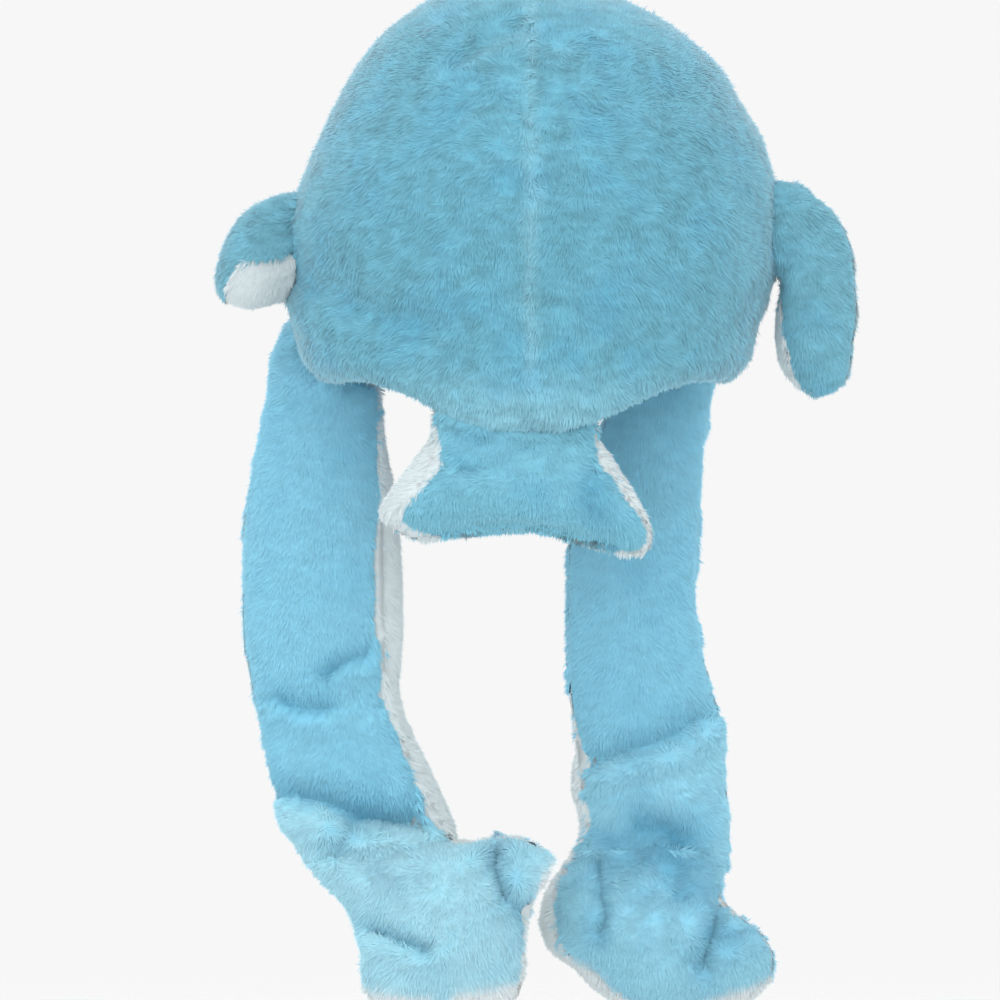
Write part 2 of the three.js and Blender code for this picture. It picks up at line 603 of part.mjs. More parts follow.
const crownForm = filledCrown();
const sewnToCrown = {
  flipper_left: leftFlipper,
  flipper_right: rightFlipper,
  tail,
  arm_left: leftArm,
  arm_right: rightArm,
};
for (const [name, limb] of Object.entries(sewnToCrown)) {
  addPiece(`${name}_outer`, geometryOf(solidOf(panel(limb, true)).subtract(crownForm)), outerPlush);
  addPiece(`${name}_underside`, geometryOf(solidOf(panel(limb, false)).subtract(crownForm)), underPlush);
}

for (const [name, limb] of Object.entries({ paw_left: leftPaw, paw_right: rightPaw })) {
  addPiece(`${name}_outer`, panel(limb, true), outerPlush);
  addPiece(`${name}_underside`, panel(limb, false), underPlush);
}

export default hat;
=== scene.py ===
"""Blender scene of a plush animal hat with two long arms, seen from behind.

Each panel of the hat is a padded form that grows out of its CAD solid. The solid
is copied, evened out, pulled in and blown up again by a cloth simulation, so that
it looks stuffed between its seams. Short plush pile then grows on all that shows
of it, through one Geometry Nodes tree.
"""

from __future__ import annotations

import logging
import math
from dataclasses import dataclass, field
from enum import Enum
from typing import Any, Sequence, Union

import bmesh
import bpy
import numpy as np
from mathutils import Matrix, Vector
from mathutils.bvhtree import BVHTree
from mathutils.interpolate import poly_3d_calc


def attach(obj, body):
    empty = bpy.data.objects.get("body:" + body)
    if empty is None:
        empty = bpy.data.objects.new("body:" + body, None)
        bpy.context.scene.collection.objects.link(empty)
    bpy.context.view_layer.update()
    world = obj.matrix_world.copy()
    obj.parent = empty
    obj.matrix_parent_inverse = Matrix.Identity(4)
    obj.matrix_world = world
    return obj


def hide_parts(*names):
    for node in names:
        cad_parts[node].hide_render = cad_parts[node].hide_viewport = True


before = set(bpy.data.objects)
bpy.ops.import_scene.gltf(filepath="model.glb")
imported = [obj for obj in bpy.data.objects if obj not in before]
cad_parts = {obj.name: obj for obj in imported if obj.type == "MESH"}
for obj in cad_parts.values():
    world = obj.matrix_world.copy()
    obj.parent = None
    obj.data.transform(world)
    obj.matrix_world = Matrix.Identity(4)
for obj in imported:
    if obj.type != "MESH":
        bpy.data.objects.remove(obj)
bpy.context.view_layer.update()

log = logging.getLogger("plush_hat")

Colour = tuple[float, float, float]
Point = tuple[float, float, float]
Spot = tuple[float, float]


# Node helpers


class Wire:
    """A node's output that can be used in plain arithmetic."""

    def __init__(self, board: Board, socket: bpy.types.NodeSocket) -> None:
        """Keep the socket and the board that it belongs to."""
        self.board = board
        self.socket = socket

    def _join(self, operation: str, left: Operand, right: Operand) -> Wire:
        """Add one Math or Vector Math node.

        Args:
            operation: The node's operation, such as ADD.
            left: The first value.
            right: The second value.

        Returns:
            The node's result.
        """
        is_vector = any(
            isinstance(side, Wire) and side.socket.type in {"VECTOR", "RGBA"}
            for side in (left, right)
        )
        kind = "ShaderNodeVectorMath" if is_vector else "ShaderNodeMath"
        return self.board.wire(kind, {"operation": operation}, {0: left, 1: right})

    def __add__(self, other: Operand) -> Wire:
        """Return this plus the other."""
        return self._join("ADD", self, other)

    def __radd__(self, other: Operand) -> Wire:
        """Return the other plus this."""
        return self._join("ADD", other, self)

    def __sub__(self, other: Operand) -> Wire:
        """Return this less the other."""
        return self._join("SUBTRACT", self, other)

    def __rsub__(self, other: Operand) -> Wire:
        """Return the other less this."""
        return self._join("SUBTRACT", other, self)

    def __mul__(self, other: Operand) -> Wire:
        """Return this times the other."""
        return self._join("MULTIPLY", self, other)

    def __rmul__(self, other: Operand) -> Wire:
        """Return the other times this."""
        return self._join("MULTIPLY", other, self)

    def __rtruediv__(self, other: Operand) -> Wire:
        """Return the other divided by this."""
        return self._join("DIVIDE", other, self)

    def highest(self, other: Operand) -> Wire:
        """Return the larger of this and the other."""
        return self._join("MAXIMUM", self, other)


Operand = Union[Wire, float, int, tuple]


class Board:
    """A node tree, with one method that adds any node to it."""

    def __init__(self, tree: bpy.types.NodeTree) -> None:
        """Take an empty tree, or empty it."""
        self.tree = tree
        tree.nodes.clear()

    @staticmethod
    def _find(sockets: Any, key: str | int) -> bpy.types.NodeSocket:
        """Find a socket by its place, its identifier or its shown name.

        Args:
            sockets: A node's inputs or outputs.
            key: The place in the list, the identifier or the name.

        Returns:
            The socket.
        """
        if isinstance(key, int):
            return [s for s in sockets if s.enabled][key]
        for socket in sockets:
            if socket.identifier == key and socket.enabled:
                return socket
        return next(s for s in sockets if s.name == key and s.enabled)

    def add(
        self,
        kind: str,
        settings: dict[str, Any] | None = None,
        values: dict[str | int, Any] | None = None,
    ) -> bpy.types.Node:
        """Add a node of any kind.

        Args:
            kind: The node's type.
            settings: Its own settings, which are made before its sockets are used.
            values: What goes into each socket: a wire, a number or a tuple.

        Returns:
            The node.
        """
        node = self.tree.nodes.new(kind)
        for name, value in (settings or {}).items():
            setattr(node, name, value)
        for key, value in (values or {}).items():
            socket = self._find(node.inputs, key)
            if isinstance(value, Wire):
                self.tree.links.new(value.socket, socket)
            elif socket.type == "VECTOR" and isinstance(value, (int, float)):
                socket.default_value = (value, value, value)
            elif socket.type == "RGBA":
                socket.default_value = (*value[:3], 1.0)
            else:
                socket.default_value = value
        return node

    def wire(
        self,
        kind: str,
        settings: dict[str, Any] | None = None,
        values: dict[str | int, Any] | None = None,
        output: str | int = 0,
    ) -> Wire:
        """Add a node and give one of its outputs.

        Args:
            kind: The node's type.
            settings: Its own settings.
            values: What goes into each socket.
            output: The output's place, identifier or name.

        Returns:
            The output.
        """
        node = self.add(kind, settings, values)
        return Wire(self, self._find(node.outputs, output))

    def mix(self, share: Operand, first: Any, second: Any) -> Wire:
        """Blend two colours.

        Args:
            share: How much of the second colour, from 0 to 1.
            first: A colour or a wire.
            second: A colour or a wire.

        Returns:
            The blended colour.
        """
        return self.wire(
            "ShaderNodeMix",
            {"data_type": "RGBA"},
            {"Factor_Float": share, "A_Color": first, "B_Color": second},
            "Result_Color",
        )

    def stored(self, name: str, kind: str = "FLOAT") -> Wire:
        """Read a value that is stored on the mesh, in a Geometry Nodes tree."""
        return self.wire("GeometryNodeInputNamedAttribute", {"data_type": kind}, {"Name": name})

    def painted(self, name: str, output: str = "Fac") -> Wire:
        """Read a value that is stored on the mesh, in a material."""
        return self.wire("ShaderNodeAttribute", {"attribute_name": name}, None, output)

    def noise(self, place: Wire, size: Operand, detail: float, output: str) -> Wire:
        """Add soft noise.

        Args:
            place: The coordinates.
            size: The size of one patch in metres.
            detail: How many finer layers it has.
            output: Fac for a number or Color for three.

        Returns:
            The noise.
        """
        return self.wire(
            "ShaderNodeTexNoise",
            None,
            {"Vector": place, "Scale": 1.0 / size, "Detail": detail},
            output,
        )

    def chance(self, low: float, high: float, seed: Wire) -> Wire:
        """Draw a random number for each point, in a Geometry Nodes tree."""
        given = {"Min": low, "Max": high, "Seed": seed}
        return self.wire("FunctionNodeRandomValue", {"data_type": "FLOAT"}, given)

    def store(self, shape: Wire, name: str, value: Any, kind: str, domain: str) -> Wire:
        """Store a value on each POINT or FACE of a shape, in a Geometry Nodes tree."""
        given = {"Geometry": shape, "Name": name, "Value": value}
        settings = {"data_type": kind, "domain": domain}
        return self.wire("GeometryNodeStoreNamedAttribute", settings, given)

    def surface(self, values: dict[str | int, Any]) -> None:
        """End a material in one principled shader with these inputs."""
        shader = self.wire("ShaderNodeBsdfPrincipled", None, values)
        self.add("ShaderNodeOutputMaterial", None, {"Surface": shader})


def new_material(name: str) -> tuple[bpy.types.Material, Board, Wire]:
    """Make an empty material.

    Args:
        name: The material's name.

    Returns:
        The material, the board of its nodes and the object's own coordinates.
    """
    material = bpy.data.materials.new(name)
    material.use_nodes = True
    board = Board(material.node_tree)
    return material, board, board.wire("ShaderNodeTexCoord", output="Object")


# Finishes


@dataclass(frozen=True)
class PileFinish:
    """Plush pile: painted darker at its roots as shade deep in the pile, paler at its tips, in soft
    uneven patches.
    """

    name: str
    # root and tip: each strand's colour from its root to its tip; the darker root is painted shade
    # down in the pile
    root: Colour
    tip: Colour
    patch: float
    tuft: float
    strand: float
    # deep: the colour of painted shade in the folds; random patches also mix toward it
    deep: Colour = (0.07, 0.30, 0.47)
    # The paler colour of painted light, from a strand's root to its tip
    lit_root: Colour = (0.32, 0.66, 0.78)
    lit_tip: Colour = (0.46, 0.77, 0.87)
    white_root: Colour = (0.70, 0.76, 0.78)
    white_tip: Colour = (0.78, 0.84, 0.86)
    patch_size: float = 0.035
    tuft_size: float = 0.007
    tuft_spread: Point = (0.6, 1.0, 1.25)
    sheen: float = 0.75
    sheen_tint: Colour = (0.85, 0.93, 0.96)
    own_normal: float = 0.5
    # fold: how far a fold's painted shade turns the colour deep; cast: how far random patches do
    fold: float = 0.75
    cast: float = 1.4

    def material(self) -> bpy.types.Material:
        """Build the finish.

        Returns:
            The material.
        """
        material, board, place = new_material(self.name)
        patches = board.noise(place, self.patch_size, 2.0, "Fac") - 0.5
        tufts = board.noise(place * self.tuft_spread, self.tuft_size, 2.0, "Fac") - 0.5
        strand = board.painted("strand_tint") - 0.5
        along = board.painted("strand_height")
        # Painted light: where it is painted, the pile turns to the paler lit colour
        pale = board.mix(along, self.lit_root, self.lit_tip)
        white = board.mix(along, self.white_root, self.white_tip)
        # Painted shade: the blue, the white and the lit colours all turn darker toward each
        # strand's root, down in the pile
        colour = board.mix(along, self.root, self.tip)
        colour = board.mix(board.painted("painted_light_share"), colour, pale)
        # Painted shade: in the folds the colour turns deep, and random patches add to it
        shade = board.painted("fold_shade") * self.fold + patches * self.cast
        colour = board.mix(shade, colour, self.deep)
        colour = board.mix(board.painted("white_share"), colour, white)
        lift = 1.0 + patches * (2.0 * self.patch) + tufts * (2.0 * self.tuft)
        lift = lift + strand * (self.strand * along)
        soft = board.painted("soft_normal", "Vector")
        own = board.wire("ShaderNodeNewGeometry", output="Normal")
        turned = soft * (1.0 - self.own_normal) + own * self.own_normal
        normal = board.wire("ShaderNodeVectorMath", {"operation": "NORMALIZE"}, {0: turned})
        board.surface(
            {
                "Base Color": colour * lift,
                "Roughness": 0.8 + tufts * 0.3,
                "Normal": normal,
                "Specular IOR Level": 0.2,
                "Sheen Weight": self.sheen,
                "Sheen Roughness": 0.45,
                "Sheen Tint": self.sheen_tint,
            }
        )
        return material


@dataclass(frozen=True)
class LiningFinish:
    """The smooth knitted lining of the hollow.

    A wave texture of scale 1 shows about bands_a_metre bands in a metre.
    """

    name: str
    thread: Colour
    gap: Colour
    stitch_size: float = 0.0032
    bands_a_metre: float = 3.15

    def material(self) -> bpy.types.Material:
        """Build the finish.

        Returns:
            The material.
        """
        material, board, place = new_material(self.name)
        scale = 1.0 / self.stitch_size / self.bands_a_metre
        rows, ribs = (
            board.wire(
                "ShaderNodeTexWave",
                {"bands_direction": way},
                {"Vector": place, "Scale": scale, "Distortion": 0.4},
                "Fac",
            )
            for way in ("Z", "X")
        )
        knit = rows * ribs
        worn = board.noise(place, 0.03, 2.0, "Fac")
        bump = board.wire(
            "ShaderNodeBump", None, {"Strength": 0.4, "Distance": 0.0006, "Height": knit}
        )
        board.surface(
            {
                "Base Color": board.mix(knit, self.gap, self.thread) * (0.85 + worn * 0.3),
                "Roughness": 0.7 + knit * 0.15,
                "Normal": bump,
                "Specular IOR Level": 0.25,
                "Sheen Weight": 0.2,
            }
        )
        return material


class Cloth(Enum):
    """The plush that a panel is cut from, by its slot in the record."""

    CROWN = "crown_plush"
    BLUE = "blue_plush"
    WHITE = "white_plush"


@dataclass(frozen=True)
class Wardrobe:
    """Every finish of the hat."""

    crown: PileFinish = PileFinish(
        "crown_pile",
        root=(0.118, 0.375, 0.50),
        tip=(0.164, 0.44, 0.56),
        patch=0.20,
        tuft=0.32,
        strand=0.14,
    )
    limb: PileFinish = PileFinish(
        "limb_pile",
        root=(0.21, 0.56, 0.745),
        tip=(0.265, 0.625, 0.80),
        patch=0.10,
        tuft=0.12,
        strand=0.10,
        cast=0.9,
    )
    tail: PileFinish = PileFinish(
        "tail_pile",
        root=(0.175, 0.49, 0.635),
        tip=(0.22, 0.555, 0.70),
        patch=0.10,
        tuft=0.16,
        strand=0.10,
    )
    white: PileFinish = PileFinish(
        "white_pile",
        root=(0.58, 0.66, 0.68),
        tip=(0.66, 0.74, 0.76),
        patch=0.05,
        tuft=0.06,
        strand=0.08,
        sheen_tint=(1.0, 1.0, 1.0),
        own_normal=0.65,
        cast=0.0,
    )
    lining: LiningFinish = LiningFinish(
        "hollow_lining", thread=(0.20, 0.50, 0.66), gap=(0.10, 0.33, 0.47)
    )


# Plush pile


@dataclass(frozen=True)
class Pile:
    """How the pile of a panel stands: lengths in metres, leans in degrees."""

    length: float = 0.0060
    width: float = 0.0011
    lean: float = 82.0
    swirl: float = 2.0
    swirl_size: float = 0.018
    stray: float = 0.46
    uneven: float = 0.4


class PileTree:
    """The Geometry Nodes tree that grows the pile on a panel."""

    numbers = ("Density", "Length", "Width", "Lean", "Swirl", "Swirl Size", "Stray", "Uneven")
    tuft_size = 0.011

    def __init__(self) -> None:
        """Build the tree once, for all panels."""
        tree = bpy.data.node_groups.new("plush_pile", "GeometryNodeTree")
        face = tree.interface
        self.inputs: dict[str, str] = {}
        face.new_socket("Panel", in_out="INPUT", socket_type="NodeSocketGeometry")
        kinds = dict.fromkeys(self.numbers, "NodeSocketFloat")
        kinds |= {"Seed": "NodeSocketInt", "Finish": "NodeSocketMaterial"}
        for name, kind in kinds.items():
            item = face.new_socket(name, in_out="INPUT", socket_type=kind)
            self.inputs[name] = item.identifier
        face.new_socket("Panel", in_out="OUTPUT", socket_type="NodeSocketGeometry")
        self.tree = tree
        self.board = Board(tree)
        self.start = self.board.add("NodeGroupInput")
        grown = self._strands()
        self.board.add("NodeGroupOutput", None, {"Panel": grown})

    def _given(self, name: str) -> Wire:
        """Return one of the tree's own inputs."""
        return Wire(self.board, self.start.outputs[name])

    def _strand(self) -> Wire:
        """Shape one strand as a slim triangle that stands on its two root points.

        Returns:
            The strand's mesh, which stores its height from 0 to 1.
        """
        board = self.board
        ring = board.wire(
            "GeometryNodeMeshCircle", {"fill_type": "NGON"}, {"Vertices": 3}, "Mesh"
        )
        corner = board.wire("GeometryNodeInputIndex")
        along = (corner - 1.0).highest(0.0)
        across = (corner - 0.5) * (1.0 - along) * self._given("Width")
        leaned = {
            way: board.wire("ShaderNodeMath", {"operation": way}, {0: self._given("Lean")})
            for way in ("SINE", "COSINE")
        }
        reach = along * self._given("Length")
        place = board.wire(
            "ShaderNodeCombineXYZ",
            None,
            {0: across, 1: reach * leaned["SINE"], 2: reach * leaned["COSINE"]},
        )
        marked = board.store(ring, "strand_height", along, "FLOAT", "POINT")
        shaped = board.wire(
            "GeometryNodeSetPosition", None, {"Geometry": marked, "Position": place}
        )
        return board.store(shaped, "is_strand", True, "BOOLEAN", "FACE")

    def _strands(self) -> Wire:
        """Scatter the strands, turn them along the comb and join them to the panel.

        Returns:
            The panel with its pile.
        """
        board = self.board
        seed = self._given("Seed")
        panel = self._given("Panel")
        density = board.stored("pile_cover") * self._given("Density")
        roots = board.wire(
            "GeometryNodeDistributePointsOnFaces",
            {"distribute_method": "RANDOM"},
            {"Mesh": panel, "Density": density, "Seed": seed},
            "Points",
        )
        place = board.wire("GeometryNodeInputPosition")
        swirl = board.noise(place, self._given("Swirl Size"), 2.0, "Color") - 0.5
        swirl = swirl * (self._given("Swirl") * board.stored("ruffle") * 2.0)
        comb = board.stored("comb", "FLOAT_VECTOR") + swirl
        stray = board.wire(
            "FunctionNodeRandomValue",
            {"data_type": "FLOAT_VECTOR"},
            {"Min": (-1.0, -1.0, -1.0), "Max": (1.0, 1.0, 1.0), "Seed": seed},
        )
        how_far = board.chance(0.0, 1.0, seed + 3)
        bent = stray * (how_far * how_far * self._given("Stray"))
        upright = board.stored("soft_normal", "FLOAT_VECTOR") + bent
        turn = board.wire(
            "FunctionNodeAxesToRotation",
            {"primary_axis": "Z", "secondary_axis": "Y"},
            {0: upright, 1: comb},
        )
        tuft = board.noise(place, self.tuft_size, 1.0, "Fac") - 0.5
        length = 1.0 + (tuft + board.chance(-0.5, 0.5, seed + 1)) * self._given("Uneven")
        size = board.wire("ShaderNodeCombineXYZ", None, {0: 1.0, 1: length, 2: length})
        tint = board.chance(0.0, 1.0, seed + 2)
        tinted = board.store(roots, "strand_tint", tint, "FLOAT", "POINT")
        planted = board.wire(
            "GeometryNodeInstanceOnPoints",
            None,
            {"Points": tinted, "Instance": self._strand(), "Rotation": turn, "Scale": size},
        )
        join = board.add("GeometryNodeJoinGeometry")
        self.tree.links.new(panel.socket, join.inputs[0])
        self.tree.links.new(planted.socket, join.inputs[0])
        real = board.wire(
            "GeometryNodeRealizeInstances", None, {0: Wire(board, join.outputs[0])}
        )
        return board.wire(
            "GeometryNodeSetMaterial",
            None,
            {
                "Geometry": real,
                "Selection": board.stored("is_strand", "BOOLEAN"),
                "Material": self._given("Finish"),
            },
        )

    def grow(
        self,
        piece: bpy.types.Object,
        pile: Pile,
        density: float,
        seed: int,
        finish: bpy.types.Material,
    ) -> None:
        """Grow the pile on a panel and leave it as a plain mesh.

        Args:
            piece: The panel.
            pile: How its pile stands.
            density: Strands for each square metre.
            seed: The seed of all that is random on it.
            finish: The strands' material.
        """
        modifier = piece.modifiers.new("Pile", "NODES")
        modifier.node_group = self.tree
        given = {
            "Density": density,
            "Length": pile.length,
            "Width": pile.width,
            "Lean": math.radians(pile.lean),
            "Swirl": pile.swirl,
            "Swirl Size": pile.swirl_size,
            "Stray": pile.stray,
            "Uneven": pile.uneven,
            "Seed": seed,
            "Finish": finish,
        }
        for name, value in given.items():
            modifier[self.inputs[name]] = value
        settle(piece)


def settle(piece: bpy.types.Object) -> None:
    """Turn a piece with its modifiers into a plain mesh and drop the modifiers."""
    graph = bpy.context.evaluated_depsgraph_get()
    made = bpy.data.meshes.new_from_object(
        piece.evaluated_get(graph), preserve_all_data_layers=True, depsgraph=graph
    )
    old = piece.data
    piece.modifiers.clear()
    piece.data = made
    bpy.data.meshes.remove(old)
    made.name = piece.name


# Panels


@dataclass(frozen=True)
class Sewing:
    """How every panel is sewn, combed and lit: lengths in metres, turns as cosines."""

    # A face is sewn where another solid lies this close in front of it
    start_inside: float = 0.0005
    sewn_within: float = 0.002
    # How the pile thins out past the open faces, over the panel's reach
    thins_from: float = 2.0
    thins_by: float = 1.6
    # An edge is where the panel turns away from its nearest open face
    edge_from: float = 0.95
    edge_fade: float = 0.4
    # An edge is drawn to the panel that it is sewn to, most where they are closest
    drawn_within: float = 0.006
    drawn_from: float = 0.0055
    drawn_fade: float = 0.0025
    # The plush goes on without a visible seam where the next panel lies this close
    runs_on_within: float = 0.012
    # How fast a fold reaches its full depth on what faces back
    fold_fade: float = 2.0
    # The comb turns over the back's edge, and sooner on what faces down
    comb_from: float = 0.25
    comb_under: float = 0.6
    comb_fade: float = 0.25
    under_fade: float = 1.5
    # How far the pile is lit by the panel's own normals and not by its open faces'
    lit_from: float = 0.3
    lit_fade: float = 0.6
    lit_most: float = 0.85


SEWING = Sewing()


def vectors(items: Any, name: str) -> np.ndarray:
    """Read a vector of each of a mesh's points.

    Args:
        items: The mesh's points or their normals.
        name: The vector's name there.

    Returns:
        One row of three numbers for each point.
    """
    found = np.empty(len(items) * 3, np.float32)
    items.foreach_get(name, found)
    return found.reshape(-1, 3).astype(float)


def gathered(names: Sequence[str]) -> tuple[BVHTree, list[str]]:
    """Gather CAD nodes for a search of their surfaces.

    Args:
        names: The nodes.

    Returns:
        The surfaces, and for each face the node that it belongs to.
    """
    corners: list[Vector] = []
    faces: list[tuple[int, ...]] = []
    owners: list[str] = []
    for name in names:
        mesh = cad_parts[name].data
        first = len(corners)
        corners.extend(v.co.copy() for v in mesh.vertices)
        faces.extend(tuple(first + i for i in p.vertices) for p in mesh.polygons)
        owners.extend([name] * len(mesh.polygons))
    return BVHTree.FromPolygons(corners, faces), owners


@dataclass(frozen=True)
class Crease:
    """A soft fold pressed into a panel, along spots seen from behind (x, z in metres)."""

    path: tuple[Spot, ...]
    depth: float
    width: float
    lip: float = 0.0
    shade: float = 0.5

    # Where the lip's ridge stands and how far the shade reaches, in widths of the fold
    ridge_at = 1.5
    shade_reach = 1.8

    def push(self, spots: np.ndarray) -> tuple[np.ndarray, np.ndarray]:
        """Work out how far each place moves out of the panel.

        Args:
            spots: The x and z of each place.

        Returns:
            The move along the surface's normal, in metres, and how deep in the
            fold's shade each place lies, from 0 to 1.
        """
        nearest = np.full(len(spots), 1.0)
        side = np.zeros(len(spots))
        for start, end in zip(self.path, self.path[1:]):
            a, b = np.array(start), np.array(end)
            run = b - a
            share = np.clip(((spots - a) @ run) / (run @ run), 0.0, 1.0)
            away = spots - (a + share[:, None] * run)
            gap = np.linalg.norm(away, axis=1)
            closer = gap < nearest
            nearest[closer] = gap[closer]
            side[closer] = away[closer, 1]
        valley = np.exp(-((nearest / self.width) ** 2))
        ridge = np.exp(-(((nearest - self.ridge_at * self.width) / self.width) ** 2))
        above = np.exp(-((nearest / (self.shade_reach * self.width)) ** 2))
        is_below = side * math.copysign(1.0, self.lip) < 0.0
        lift = np.where(is_below, abs(self.lip) * ridge, 0.0) - self.depth * valley
        return lift, np.where(is_below & (self.lip != 0.0), valley**3, above) * self.shade


@dataclass
class Panel:
    """One sewn panel of the hat, with the pile that grows on it."""

    node: str
    cloth: Cloth
    finish: PileFinish
    triangles: int
    pile: Pile = field(default_factory=Pile)
    flow: Point = (0.0, 0.0, -1.0)
    voxel: float = 0.005
    inset: float = 0.0015
    swell: float = 0.004
    fill: float = 0.7
    seed: int = 1
    creases: tuple[Crease, ...] = ()
    reach: float = 0.004
    # Painted light: how far the whole panel is painted paler
    pale: float = 0.0
    # Painted light: below the cuff's line the pile is painted paler, as on the lit bulge under a
    # fold
    cuff: tuple[Spot, ...] = ()
    cuff_light: float = 0.8
    cuff_fade: float = 0.012
    white_edge: tuple[Spot, ...] = ()
    white_fade: float = 0.006
    over_edge: float = 1.5
    smooth: float = 0.4
    ruffle_fade: float = 0.03
    goes_on: str | None = None
    piece: bpy.types.Object | None = None
    cover: np.ndarray | None = None
    out: np.ndarray | None = None
    edge: np.ndarray | None = None
    runs_on: np.ndarray | None = None

    def cut(self) -> None:
        """Copy the CAD solid, even out its faces and pull it in under its pile."""
        work = bmesh.new()
        work.from_mesh(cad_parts[self.node].data)
        bmesh.ops.remove_doubles(work, verts=work.verts, dist=1e-5)
        mesh = bpy.data.meshes.new(self.node + "_plush")
        work.to_mesh(mesh)
        self.piece = bpy.data.objects.new(self.node + "_plush", mesh)
        bpy.context.scene.collection.objects.link(self.piece)
        even = self.piece.modifiers.new("Even", "REMESH")
        even.mode = "VOXEL"
        even.voxel_size = self.voxel
        ease = self.piece.modifiers.new("Ease", "SMOOTH")
        ease.factor = 0.5
        ease.iterations = 3
        settle(self.piece)
        mesh = self.piece.data
        mesh.polygons.foreach_set("use_smooth", np.ones(len(mesh.polygons), bool))
        places = self.places()
        onto = self._find_open(work)
        work.free()
        pull = places + (onto - places) * self.edge[:, None]
        self.move_to(pull - self.out * (self.inset * self.cover)[:, None])

    def places(self) -> np.ndarray:
        """Return the places of the panel's points."""
        return vectors(self.piece.data.vertices, "co")

    def normals(self) -> np.ndarray:
        """Return the panel's normals at its points."""
        return vectors(self.piece.data.vertex_normals, "vector")

    def move_to(self, places: np.ndarray) -> None:
        """Move the panel's points to new places."""
        self.piece.data.vertices.foreach_set("co", places.astype(np.float32).ravel())
        self.piece.data.update()

    def _find_open(self, solid: bmesh.types.BMesh) -> np.ndarray:
        """Find what of the panel isn't sewn to or pressed against another.

        Keeps for each point how open it is, which way is out, how near it is to a
        seam's edge, and whether the plush goes on there without a visible seam.

        Args:
            solid: The CAD solid with its corners merged.

        Returns:
            The place that each point takes on the solid's open faces.
        """
        others, owners = gathered([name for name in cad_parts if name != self.node])
        solid.faces.ensure_lookup_table()
        solid.verts.index_update()
        solid.normal_update()
        bare: list[bmesh.types.BMFace] = []
        partners: set[str] = set()
        for face in solid.faces:
            start = face.calc_center_median() - face.normal * SEWING.start_inside
            hit = others.ray_cast(start, face.normal, SEWING.sewn_within)
            if hit[0] is None:
                bare.append(face)
            else:
                partners.add(owners[hit[2]])
        outward = [Vector((0.0, 0.0, 0.0)) for _ in solid.verts]
        for face in bare:
            for vert in face.verts:
                outward[vert.index] += face.normal * face.calc_area()
        shape = BVHTree.FromPolygons(
            [v.co for v in solid.verts], [tuple(v.index for v in f.verts) for f in bare]
        )
        sewn_on = gathered(sorted(partners))[0] if partners else None
        follows = gathered([self.goes_on])[0] if self.goes_on else None
        places, normals = self.places(), self.normals()
        onto = places.copy()
        self.out = normals.copy()
        self.cover = np.zeros(len(places))
        self.edge = np.zeros(len(places))
        self.runs_on = np.zeros(len(places), bool)
        for i, place in enumerate(places):
            near, _, index, gap = shape.find_nearest(Vector(place))
            left = SEWING.thins_from - gap / self.reach * SEWING.thins_by
            self.cover[i] = min(1.0, max(0.0, left))
            if self.cover[i] == 0.0:
                continue
            verts = bare[index].verts
            shares = poly_3d_calc([v.co for v in verts], near)
            way = sum((outward[v.index] * s for v, s in zip(verts, shares)), Vector())
            self.out[i] = way.normalized()
            turned = float(self.out[i] @ normals[i])
            self.edge[i] = min(1.0, max(0.0, (SEWING.edge_from - turned) / SEWING.edge_fade))
            onto[i] = near
            meets = sewn_on.find_nearest(near, SEWING.drawn_within) if sewn_on else (None,) * 4
            if meets[0] is not None:
                close = min(1.0, max(0.0, (SEWING.drawn_from - meets[3]) / SEWING.drawn_fade))
                self.edge[i] = max(self.edge[i], close)
                onto[i] = near.lerp(meets[0], 0.5 * close + 0.5 * close * close)
            if follows and follows.find_nearest(near, SEWING.runs_on_within)[0] is not None:
                self.runs_on[i] = True
        return onto

    def pinned(self) -> np.ndarray:
        """Return which points the seams hold while the panel is stuffed."""
        return (self.pile_share() < 0.5) | ((self.edge > 0.5) & ~self.runs_on)

    def blown_up(self, before: np.ndarray, after: np.ndarray) -> None:
        """Take the simulated places, with no point moved past the panel's swell.

        Args:
            before: The places before the simulation.
            after: The simulated places.
        """
        step = self.evened(after - before, rounds=6)
        size = np.linalg.norm(step, axis=1)
        size[size == 0.0] = 1.0
        step *= np.minimum(1.0, self.swell / size)[:, None]
        self.move_to(before + step)

    def evened(self, values: np.ndarray, rounds: int) -> np.ndarray:
        """Even values out over neighbouring points.

        Args:
            values: One row for each point.
            rounds: How many times each point takes half of its neighbours' mean.

        Returns:
            The evened values.
        """
        mesh = self.piece.data
        edges = np.empty(len(mesh.edges) * 2, np.int32)
        mesh.edges.foreach_get("vertices", edges)
        one, two = edges.reshape(-1, 2).T
        count = np.bincount(edges, minlength=len(values))[:, None]
        for _ in range(rounds):
            total = np.zeros_like(values)
            np.add.at(total, one, values[two])
            np.add.at(total, two, values[one])
            values = 0.5 * values + 0.5 * total / np.maximum(count, 1)
        return values

    def press(self) -> np.ndarray:
        """Press the panel's creases into the side that faces back.

        Returns:
            How deep in a fold's shade each point lies, from 0 to 1.
        """
        places = self.places()
        normals = self.normals()
        shade = np.zeros(len(places))
        faces_back = np.clip(-SEWING.fold_fade * normals[:, 1], 0.0, 1.0) * self.cover
        for crease in self.creases:
            push, deep = crease.push(places[:, [0, 2]])
            places = places + normals * (push * faces_back)[:, None]
            shade = np.maximum(shade, deep * faces_back)
        self.move_to(places)
        return shade

    def pile_share(self) -> np.ndarray:
        """Return how dense the pile is at each point, from 0 to 1."""
        return self.cover

    def below(self, line: tuple[Spot, ...]) -> np.ndarray:
        """Return how far each point lies below a line seen from behind, in metres."""
        places = self.places()
        across, height = zip(*line)
        return np.interp(places[:, 0], across, height) - places[:, 2]

